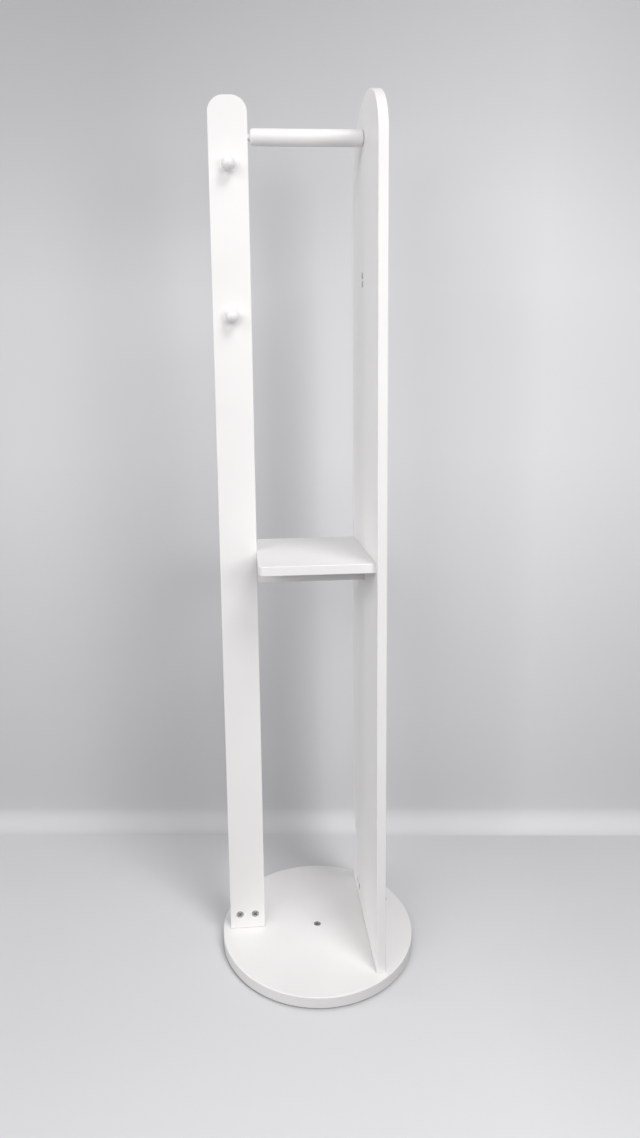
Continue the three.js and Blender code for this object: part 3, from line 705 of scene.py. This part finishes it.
def hook_board():
    low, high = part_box("hook_upright")
    top = high.z - UPRIGHT_CORNER
    outline = [
        (low.x, low.z),
        (high.x, low.z),
        *arc_points((high.x - UPRIGHT_CORNER, top), UPRIGHT_CORNER, 0, 90, CORNER_STEPS),
        *arc_points((low.x + UPRIGHT_CORNER, top), UPRIGHT_CORNER, 90, 180, CORNER_STEPS),
    ]
    bm = eased_board(outline, high.y - low.y, lambda x, z, h: (x, high.y - h, z))
    cutters = [*holes("hook_upright"), rail_socket(high.x), *dowel_holes(), joint_line(low, high)]
    mesh = to_mesh(bm, "hook_board")
    add_piece("hook_board", mesh, "white_paint", "stand", ["hook_upright"], cutters)


def rail_socket(face):
    """The cutter for the blind hole that takes the rail's tenon, from the board's right face."""
    low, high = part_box("hanging_rail")
    axis = (low + high) / 2
    radius, bottom = TENON_RADIUS + HOLE_GAP, -TENON_LENGTH - HOLE_GAP
    bm = spun([(0, bottom), (radius, bottom), (radius, OVERRUN), (0, OVERRUN)], PIN_SIDES)
    return to_mesh(aim(bm, RIGHT, (face, axis.y, axis.z)), "socket")


def joint_line(low, high):
    """The cutter for the hairline joint round a board's foot, which rests on its middle."""
    bm = bmesh.new()
    rings = []
    for grow in (JOINT_REACH, -JOINT_DEPTH):
        x0, x1, y0, y1 = low.x - grow, high.x + grow, low.y - grow, high.y + grow
        for z in (low.z - OVERRUN, low.z + JOINT_RISE):
            corners = ((x0, y0, z), (x1, y0, z), (x1, y1, z), (x0, y1, z))
            rings.append([bm.verts.new(corner) for corner in corners])
    for first, second in ((0, 1), (1, 3), (3, 2), (2, 0)):
        for i in range(4):
            j = (i + 1) % 4
            bm.faces.new((rings[first][i], rings[first][j], rings[second][j], rings[second][i]))
    return to_mesh(bm, "joint_line")


def dowel_holes():
    found = []
    for number in (1, 2):
        low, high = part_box(f"stretcher_dowel_{number}")
        middle, reach = (low + high) / 2, (high.x - low.x) / 2 + HOLE_GAP
        radius = (high.z - low.z) / 2 + HOLE_GAP
        bm = spun([(0, -reach), (radius, -reach), (radius, reach), (0, reach)], PIN_SIDES)
        found.append(to_mesh(aim(bm, RIGHT, middle), "dowel_hole"))
    return found


def arched_board():
    low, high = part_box("wide_board")
    half = (high.y - low.y) / 2
    spring = high.z - ARCH_HEIGHT
    bottom, middle, top = (low.z + h for h in (HOLLOW_BOTTOM, HOLLOW_MIDDLE, HOLLOW_TOP))
    deep = high.y - HOLLOW_DEPTH
    lower_handle = (middle - bottom) * HOLLOW_HANDLE_SHARE
    upper_handle = (top - middle) * HOLLOW_HANDLE_SHARE
    arch = [(half * x, spring + ARCH_HEIGHT * y) for x, y in arc_points((0, 0), 1, 0, 180, ARCH_STEPS)]
    outline = [
        (low.y, low.z),
        (high.y, low.z),
        *curve_points(
            (high.y, bottom), (high.y, bottom + lower_handle),
            (deep, middle - lower_handle), (deep, middle), HOLLOW_STEPS),
        *curve_points(
            (deep, middle), (deep, middle + upper_handle),
            (high.y, top - upper_handle), (high.y, top), HOLLOW_STEPS),
        *arch,
    ]
    bm = eased_board(outline, high.x - low.x, lambda y, z, h: (low.x + h, y, z))
    cutters = [*holes("wide_board"), joint_line(low, high)]
    mesh = to_mesh(bm, "arched_board")
    add_piece("arched_board", mesh, "white_paint", "stand", ["wide_board"], cutters)


def shelf_board():
    low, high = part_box("shelf")
    left = low.x + SHELF_CORNER
    outline = [
        (high.x, low.y),
        (high.x, high.y),
        *arc_points((left, high.y - SHELF_CORNER), SHELF_CORNER, 90, 180, SHELF_CORNER_STEPS),
        *arc_points((left, low.y + SHELF_CORNER), SHELF_CORNER, 180, 270, SHELF_CORNER_STEPS),
    ]
    bm = eased_board(outline, high.z - low.z, lambda x, y, h: (x, y, low.z + h))
    mesh = to_mesh(bm, "shelf_board")
    add_piece("shelf_board", mesh, "white_paint", "stand", ["shelf"], holes("shelf"))


def stretcher_board():
    low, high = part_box("stretcher")
    outline = [(low.x, low.z), (high.x, low.z), (high.x, high.z), (low.x, high.z)]
    bm = eased_board(outline, high.y - low.y, lambda x, z, h: (x, high.y - h, z))
    cutters = [*holes("stretcher"), *dowel_holes()]
    mesh = to_mesh(bm, "stretcher_board")
    add_piece("stretcher_board", mesh, "white_paint", "stand", ["stretcher"], cutters)


# Turned pieces

def turned_rail():
    low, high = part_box("hanging_rail")
    start = low.x + TENON_LENGTH
    span = high.x - start
    core = RAIL_RADIUS - RAIL_ROUNDING
    ease = RAIL_NECK_EASE
    profile = [
        (0, -TENON_LENGTH),
        (TENON_RADIUS - ease, -TENON_LENGTH),
        (TENON_RADIUS, ease - TENON_LENGTH),
        (TENON_RADIUS, RAIL_NECK - ease),
        *arc_points((TENON_RADIUS + ease, RAIL_NECK - ease), ease, 180, 90, SMALL_EASE_STEPS)[1:],
        *arc_points((core, RAIL_NECK + RAIL_ROUNDING), RAIL_ROUNDING, -90, 0, RAIL_END_STEPS),
        *arc_points((core, span - RAIL_ROUNDING), RAIL_ROUNDING, 0, 90, RAIL_END_STEPS),
        (0, span),
    ]
    bm = aim(spun(profile, TURNED_SIDES), RIGHT, (start, (low.y + high.y) / 2, (low.z + high.z) / 2))
    mesh = to_mesh(bm, "turned_rail")
    add_piece("turned_rail", mesh, "white_paint", "stand", ["hanging_rail"], holes("hanging_rail"))


def turned_knob(name):
    low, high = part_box(name)
    reach = high.y - low.y
    centre = reach - KNOB_RADIUS
    start = -math.degrees(math.acos(KNOB_NECK_RADIUS / KNOB_RADIUS))
    neck_top = centre + KNOB_RADIUS * math.sin(math.radians(start))
    profile = [
        (0, 0),
        (KNOB_FOOT_RADIUS - KNOB_FOOT_EASE, 0),
        (KNOB_FOOT_RADIUS, KNOB_FOOT_EASE),
        *curve_points(
            (KNOB_FOOT_RADIUS, KNOB_FOOT_RIM),
            (KNOB_FOOT_RADIUS - KNOB_FLARE_IN, KNOB_FLARE_RISE),
            (KNOB_NECK_RADIUS - KNOB_FLARE_OUT, neck_top - KNOB_FLARE_RISE),
            (KNOB_NECK_RADIUS, neck_top), KNOB_FLARE_STEPS),
        *arc_points((0, centre), KNOB_RADIUS, start, 90, KNOB_STEPS)[1:-1],
        (0, reach),
    ]
    foot = ((low.x + high.x) / 2, high.y, (low.z + high.z) / 2)
    mesh = to_mesh(aim(spun(profile, SMALL_RING_SIDES), FRONT, foot), "turned_" + name)
    add_piece("turned_" + name, mesh, "white_paint", "stand", [name], holes(name))


# Base

def round_disc():
    low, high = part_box("base_disc")
    rim, under = high.x - DISC_EASE, high.x - DISC_LOWER_EASE
    profile = [
        (PIVOT_BORE, RECESS_CEILING),
        (RECESS_RADIUS, RECESS_CEILING),
        (RECESS_RADIUS, low.z),
        *arc_points((under, low.z + DISC_LOWER_EASE), DISC_LOWER_EASE, -90, 0, EASE_STEPS),
        *arc_points((rim, high.z - DISC_EASE), DISC_EASE, 0, 90, RIM_EASE_STEPS),
        (PIVOT_HEAD_BORE + PIVOT_HEAD_EASE, high.z),
        (PIVOT_HEAD_BORE, high.z - PIVOT_HEAD_EASE),
        (PIVOT_HEAD_BORE, high.z - PIVOT_HEAD_DEPTH),
        (PIVOT_BORE, high.z - PIVOT_HEAD_DEPTH),
    ]
    bm = spun(profile, ROUND_SIDES, closed=True)
    cutters = holes("base_disc", apart_from="pivot_bolt")
    mesh = to_mesh(bm, "round_disc")
    add_piece("round_disc", mesh, "white_paint", "stand", ["base_disc"], cutters)


def ground_board():
    low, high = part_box("ground_plate")
    rim = high.x - PLATE_EASE
    profile = [
        (PIVOT_BORE, GROUND_POCKET_TOP),
        (GROUND_POCKET_RADIUS, GROUND_POCKET_TOP),
        (GROUND_POCKET_RADIUS, low.z),
        *arc_points((rim, low.z + PLATE_EASE), PLATE_EASE, -90, 0, SMALL_EASE_STEPS),
        *arc_points((rim, high.z - PLATE_EASE), PLATE_EASE, 0, 90, SMALL_EASE_STEPS),
        (PIVOT_BORE, high.z),
    ]
    bm = spun(profile, ROUND_SIDES, closed=True)
    mesh = to_mesh(bm, "ground_board")
    add_piece("ground_board", mesh, "plywood", "ground", ["ground_plate"], holes("ground_plate"))


def moulded_feet():
    for number in range(1, FOOT_COUNT + 1):
        low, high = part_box(f"foot_{number}")
        middle = (low + high) / 2
        radius, height = (high.x - low.x) / 2, high.z - low.z
        dish_floor, dish_mouth = (radius * share for share in FOOT_DISH_SHARES)
        profile = [
            (0, FOOT_DISH_DEPTH),
            (dish_floor, FOOT_DISH_DEPTH),
            (dish_mouth, 0),
            *arc_points((radius - FOOT_EASE, FOOT_EASE), FOOT_EASE, -90, 0, EASE_STEPS),
            (radius, height),
            (0, height),
        ]
        bm = aim(spun(profile, FOOT_SIDES), UP, (middle.x, middle.y, low.z))
        name = f"moulded_foot_{number}"
        add_piece(name, to_mesh(bm, name), "rubber", "ground", [f"foot_{number}"])


def pressed_race(node, groove_side, body):
    """A flat ring with a rolled groove for the balls, on its upper side or its lower side."""
    low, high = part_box(node)
    back, face = (low.z, high.z) if groove_side > 0 else (high.z, low.z)
    lean = RACE_EASE * groove_side
    inner, outer = BALL_RING - RACE_HALF_WIDTH, BALL_RING + RACE_HALF_WIDTH
    groove = []
    for step in range(GROOVE_STEPS + 1):
        across = -GROOVE_HALF_WIDTH + 2 * GROOVE_HALF_WIDTH * step / GROOVE_STEPS
        depth = GROOVE_DEPTH * math.cos(math.pi / 2 * across / GROOVE_HALF_WIDTH)
        groove.append((BALL_RING - across, face - groove_side * depth))
    profile = [
        (inner, back),
        (outer, back),
        (outer, face - lean),
        (outer - RACE_EASE, face),
        *groove,
        (inner + RACE_EASE, face),
        (inner, face - lean),
    ]
    name = "pressed_" + node
    mesh = to_mesh(spun(profile, RING_SIDES, closed=True), name)
    add_piece(name, mesh, "zinc_steel", body, [node], holes(node))


def caged_balls():
    """The cage ring and its balls, which it carries round together."""
    inner, outer = BALL_RING - CAGE_HALF_WIDTH, BALL_RING + CAGE_HALF_WIDTH
    bottom, top = BALL_HEIGHT - CAGE_HALF_HEIGHT, BALL_HEIGHT + CAGE_HALF_HEIGHT
    profile = [(inner, bottom), (outer, bottom), (outer, top), (inner, top)]
    bm = spun(profile, RING_SIDES, closed=True)
    for centre in circle(BALL_RING, BALL_HEIGHT, BALL_COUNT):
        bmesh.ops.create_icosphere(
            bm, subdivisions=BALL_SUBDIVISIONS, radius=BALL_RADIUS, matrix=Matrix.Translation(centre))
    add_piece("caged_balls", to_mesh(bm, "caged_balls"), "zinc_steel", "cage", ["ball_cage"])


def flat_washer():
    low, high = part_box("pivot_washer")
    outer, edge = high.x, WASHER_EASE
    profile = [
        (PIVOT_BORE, low.z),
        (outer - edge, low.z),
        (outer, low.z + edge),
        (outer, high.z - edge),
        (outer - edge, high.z),
        (PIVOT_BORE, high.z),
    ]
    mesh = to_mesh(spun(profile, SMALL_RING_SIDES, closed=True), "flat_washer")
    add_piece("flat_washer", mesh, "nylon", "stand", ["pivot_washer"])


def lock_nut():
    """A thin nut, with its bore and the chamfer under its corners cut out."""
    low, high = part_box("pivot_nut")
    corner = high.x
    inner = corner * math.cos(math.pi / NUT_SIDES) - NUT_PAST_FLAT
    outer = corner + OVERRUN
    below, above = low.z - OVERRUN, high.z + OVERRUN
    shoulder = low.z + NUT_CHAMFER
    nut = spun([(0, low.z), (corner, low.z), (corner, high.z), (0, high.z)], NUT_SIDES)
    bore = spun([(0, below), (PIVOT_BORE, below), (PIVOT_BORE, above), (0, above)], PIN_SIDES)
    profile = [
        (inner, below),
        (outer, below),
        (outer, shoulder),
        (corner + NUT_PAST_CORNER, shoulder),
        (inner, low.z - NUT_PAST_FACE),
    ]
    ring = aim(spun(profile, SMALL_RING_SIDES, closed=True), UP, (0, 0, 0), NUT_RING_TURN)
    cutters = [to_mesh(bore, "bore"), to_mesh(ring, "ring")]
    mesh = to_mesh(nut, "lock_nut")
    add_piece("lock_nut", mesh, "zinc_steel", "stand", ["pivot_nut"], cutters)


# Steel angles

def bent_angle(node, axis, place):
    """A bent steel strip with rounded tips, as wide along an axis as its node. place turns its own
    (out, up, across) into a point, from the node's lowest corner."""
    low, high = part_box(node)
    width = getattr(high, axis) - getattr(low, axis)
    height = high.z - low.z
    inner = ANGLE_THICKNESS + ANGLE_BEND
    outline = [
        (0, height),
        *arc_points((inner, inner), inner, 180, 270, ANGLE_BEND_STEPS),
        (ANGLE_REACH, 0),
        (ANGLE_REACH, ANGLE_THICKNESS),
        *arc_points((inner, inner), ANGLE_BEND, 270, 180, ANGLE_BEND_STEPS),
        (ANGLE_THICKNESS, height),
    ]
    bm = bmesh.new()
    near = [bm.verts.new((x, z, 0)) for x, z in outline]
    far = [bm.verts.new((x, z, width)) for x, z in outline]
    bm.faces.new(near[::-1])
    bm.faces.new(far)
    for i in range(len(outline)):
        j = (i + 1) % len(outline)
        bm.faces.new((near[i], near[j], far[j], far[i]))
    tips = []
    for edge in bm.edges:
        a, b = (v.co for v in edge.verts)
        across = abs(a.z - b.z) < SAME_PLACE
        at_top = all(abs(end.y - height) < SAME_PLACE for end in (a, b))
        at_end = all(abs(end.x - ANGLE_REACH) < SAME_PLACE for end in (a, b))
        if across and (at_top or at_end):
            tips.append(edge)
    round_edges(bm, tips, ANGLE_TIP_CORNER, ANGLE_TIP_STEPS)
    bmesh.ops.recalc_face_normals(bm, faces=bm.faces)
    sharp = math.radians(ANGLE_SHARP)
    edges = [e for e in bm.edges if e.is_manifold and e.calc_face_angle() > sharp]
    round_edges(bm, edges, ANGLE_EDGE, ANGLE_ROUNDING_STEPS)
    for vertex in bm.verts:
        vertex.co = place(low, *vertex.co)
    name = "bent_" + node
    add_piece(name, to_mesh(bm, name), "zinc_steel", "stand", [node], holes(node))


def round_edges(bm, edges, radius, steps):
    bmesh.ops.bevel(bm, geom=edges, offset=radius, segments=steps, profile=0.5, affect="EDGES")


def upright_angle_place(low, out, up, across):
    """The hook upright's angle reaches to the rear."""
    return low.x + across, low.y + out, low.z + up


def wide_angle_place(low, out, up, across):
    """The wide board's angle reaches to the right."""
    return low.x + out, low.y + across, low.z + up


# Floor, backdrop and light

WALL_PLACE = (0.0, 0.418)
WALL_TURN = -5.4
COVE_RADIUS = 50 * MM
STUDIO_REACH = 7.0
WALL_HEIGHT = 4.5
WALL_LIFT = 0.1 * MM
# Places in metres with their tones: along Y on the floor, up Z on the wall. These tones are painted
# light and shade: the floor is painted lighter towards the front, and the wall is painted darker at
# its foot and much darker at its top.
FLOOR_PAINTED_LIGHT_ALONG = [(-0.6, 228), (-0.2, 222), (0.1, 219), (0.4, 214)]
WALL_PAINTED_LIGHT_UP = [(0.0, 213), (0.5, 217), (1.0, 225), (1.4, 220), (1.8, 200), (2.3, 178)]
# The same along X, as percentages of a middle tone. These are painted light and shade across the
# paper: a painted shadow band on the wall left of the stand, a painted pool of light on the wall to
# its right, and the floor painted a little lighter round the middle and just right of it.
MIDDLE_TONE = 200
FLOOR_PAINTED_LIGHT_ACROSS = [(-0.6, 99), (0.0, 101), (0.3, 102), (0.6, 99), (0.9, 98)]
WALL_PAINTED_LIGHT_ACROSS = [(-0.7, 99), (-0.42, 97), (-0.1, 100), (0.3, 104), (0.6, 107), (0.9, 103)]
# Tones that the paper throws back on the stand, their drift, and the blue that shown tones gain
FLOOR_THROWN = (112, 112, 114)
WALL_THROWN = (200, 200, 202)
THROWN_DRIFT = 4
BLUE_LIFT = 2
# What shows past the paper, and the faint light that comes from all round
AIR_COLOUR = (222, 222, 225)
AIR_LIGHT = 0.02


def seen_share(add):
    """1 for rays of the camera, of reflections and through clear things, and 0 for all others."""
    path = add("LightPath").outputs
    seen = add("Math", {0: path["Is Camera Ray"], 1: path["Is Glossy Ray"]}, operation="ADD")
    clear = {0: seen.outputs["Value"], 1: path["Is Transmission Ray"]}
    return add("Math", clear, operation="ADD", use_clamp=True).outputs["Value"]


def studio_paper(name, axis, stops, across, dull):
    """Pale studio paper, with painted light and shade along one axis and across X. It throws back less
    light than it shows, as paper further off would, and only its front side shows, so that it hides
    nothing from behind."""
    material, shader, add, plug = new_material(name)
    place = add("TexCoord").outputs["Object"]
    sides = add("SeparateXYZ", {"Vector": place}).outputs

    def run(socket, stops, colour):
        first, last = stops[0][0], stops[-1][0]
        limits = {"Value": socket, "From Min": first, "From Max": last}
        share = add("MapRange", limits).outputs["Result"]
        return ramp(add, share, [((at - first) / (last - first), colour(tone)) for at, tone in stops])

    # Painted light and shade along the axis, in the colour that the camera and reflections see
    along = run(sides[axis], stops, lambda tone: linear(tone, tone, tone + BLUE_LIFT))
    # Painted light and shade across X, scaled about the middle tone and multiplied into the shown
    # colour
    painted_light_across = run(sides["X"], across, lambda percent: linear(*[MIDDLE_TONE * percent / 100] * 3))
    level = add("VectorMath", {0: painted_light_across, 1: linear(*[MIDDLE_TONE] * 3)[:3]}, operation="DIVIDE")
    both = {0: along, 1: level.outputs["Vector"]}
    shown = add("VectorMath", both, operation="MULTIPLY").outputs["Vector"]
    drift = noise(add, place, scale=1.2, detail=2.0)
    lighter = [tone + THROWN_DRIFT for tone in dull]
    thrown = ramp(add, drift, [(0.3, linear(*dull)), (0.7, linear(*lighter))])
    mixed = add("Mix", {"Factor": seen_share(add), 6: thrown, 7: shown}, data_type="RGBA")
    plug(mixed.outputs[2], "Base Color")
    plug(between(add, noise(add, place, scale=40.0, detail=3.0), 0.70, 0.80), "Roughness")
    shader.inputs["Specular IOR Level"].default_value = 0.2
    back = add("NewGeometry").outputs["Backfacing"]
    clear = add("BsdfTransparent")
    whole = add("MixShader", {0: back, 1: shader.outputs["BSDF"], 2: clear.outputs["BSDF"]})
    output = next(n for n in material.node_tree.nodes if n.type == "OUTPUT_MATERIAL")
    material.node_tree.links.new(whole.outputs["Shader"], output.inputs["Surface"])
    return material


def stage_paper(name, bm, paper):
    mesh = bpy.data.meshes.new(name)
    bm.to_mesh(mesh)
    bm.free()
    piece = new_object(name, mesh)
    mesh.materials.append(paper)


def add_studio():
    """A pale floor, with a wall close behind the stand that curves up from it."""
    bm = bmesh.new()
    corners = ((-1, -1), (1, -1), (1, 1), (-1, 1))
    bm.faces.new([bm.verts.new((x * STUDIO_REACH, y * STUDIO_REACH, 0)) for x, y in corners])
    paper = studio_paper("floor_paper_painted_light", "Y", FLOOR_PAINTED_LIGHT_ALONG, FLOOR_PAINTED_LIGHT_ACROSS, FLOOR_THROWN)
    stage_paper("studio_floor", bm, paper)
    profile = arc_points((-COVE_RADIUS, COVE_RADIUS), COVE_RADIUS, -90, 0, COVE_STEPS)
    profile.append((0, WALL_HEIGHT))
    bm = bmesh.new()
    ends = (-STUDIO_REACH, STUDIO_REACH)
    rows = [[bm.verts.new((x, y, z + WALL_LIFT)) for x in ends] for y, z in profile]
    for low, high in zip(rows, rows[1:]):
        face = bm.faces.new((low[0], low[1], high[1], high[0]))
        face.smooth = True
    turn = Matrix.Rotation(math.radians(WALL_TURN), 4, "Z")
    bmesh.ops.transform(bm, matrix=Matrix.Translation((*WALL_PLACE, 0)) @ turn, verts=bm.verts)
    paper = studio_paper("wall_paper_painted_light", "Z", WALL_PAINTED_LIGHT_UP, WALL_PAINTED_LIGHT_ACROSS, WALL_THROWN)
    stage_paper("studio_wall", bm, paper)


# Name, place, the height on the pivot's axis that it is aimed at, side, watts
LAMPS = [
    ("side_left", (-7.355, -1.034, 1.894), 0.85, 3.2, 126.0),
    ("far_left", (-5.073, -4.257, 4.371), 0.85, 3.2, 108.0),
    ("far_front", (-1.714, -6.396, 4.371), 0.85, 3.2, 60.0),
    ("high_right", (2.168, -4.077, 6.76), 0.85, 3.2, 248.0),
    ("softbox_left", (-0.968, -1.9, 1.60), 0.8, 0.8, 8.8),
    ("softbox_right", (0.968, -1.9, 1.56), 0.75, 0.8, 14.2),
]


def add_lamps():
    for name, place, aimed_height, side, watts in LAMPS:
        data = bpy.data.lights.new(name, "AREA")
        data.shape, data.size, data.energy = "SQUARE", side, watts
        lamp = bpy.data.objects.new(name, data)
        lamp.location = place
        lamp.rotation_mode = "QUATERNION"
        way = Vector((0, 0, aimed_height)) - Vector(place)
        lamp.rotation_quaternion = way.to_track_quat("-Z", "Y")
        lamp.visible_camera = False
        bpy.context.scene.collection.objects.link(lamp)


def add_air():
    """The world: a plain pale ground where it is seen, and a faint even light elsewhere."""
    world = bpy.data.worlds.new("studio_air")
    world.use_nodes = True
    tree = world.node_tree
    tree.nodes.clear()
    add = node_adder(tree)
    soft = add("Background", {"Color": linear(255, 255, 255), "Strength": AIR_LIGHT})
    shown = add("Background", {"Color": linear(*AIR_COLOUR)})
    mix = add("MixShader", {
        0: seen_share(add), 1: soft.outputs["Background"], 2: shown.outputs["Background"],
    })
    add("OutputWorld", {"Surface": mix.outputs["Shader"]})
    bpy.context.scene.world = world


# The scene

bpy.context.scene.view_settings.view_transform = "Standard"
add_camera()
round_disc()
hook_board()
arched_board()
shelf_board()
stretcher_board()
turned_rail()
turned_knob("knob_upper")
turned_knob("knob_lower")
ground_board()
moulded_feet()
pressed_race("lower_race", 1, "ground")
pressed_race("upper_race", -1, "stand")
caged_balls()
flat_washer()
lock_nut()
bent_angle("upright_angle", "x", upright_angle_place)
bent_angle("wide_angle", "y", wide_angle_place)
add_fasteners()
for node in ("stretcher_dowel_1", "stretcher_dowel_2"):
    for material_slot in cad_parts[node].material_slots:
        material_slot.material = MATERIALS["beech"]
add_studio()
add_lamps()
add_air()
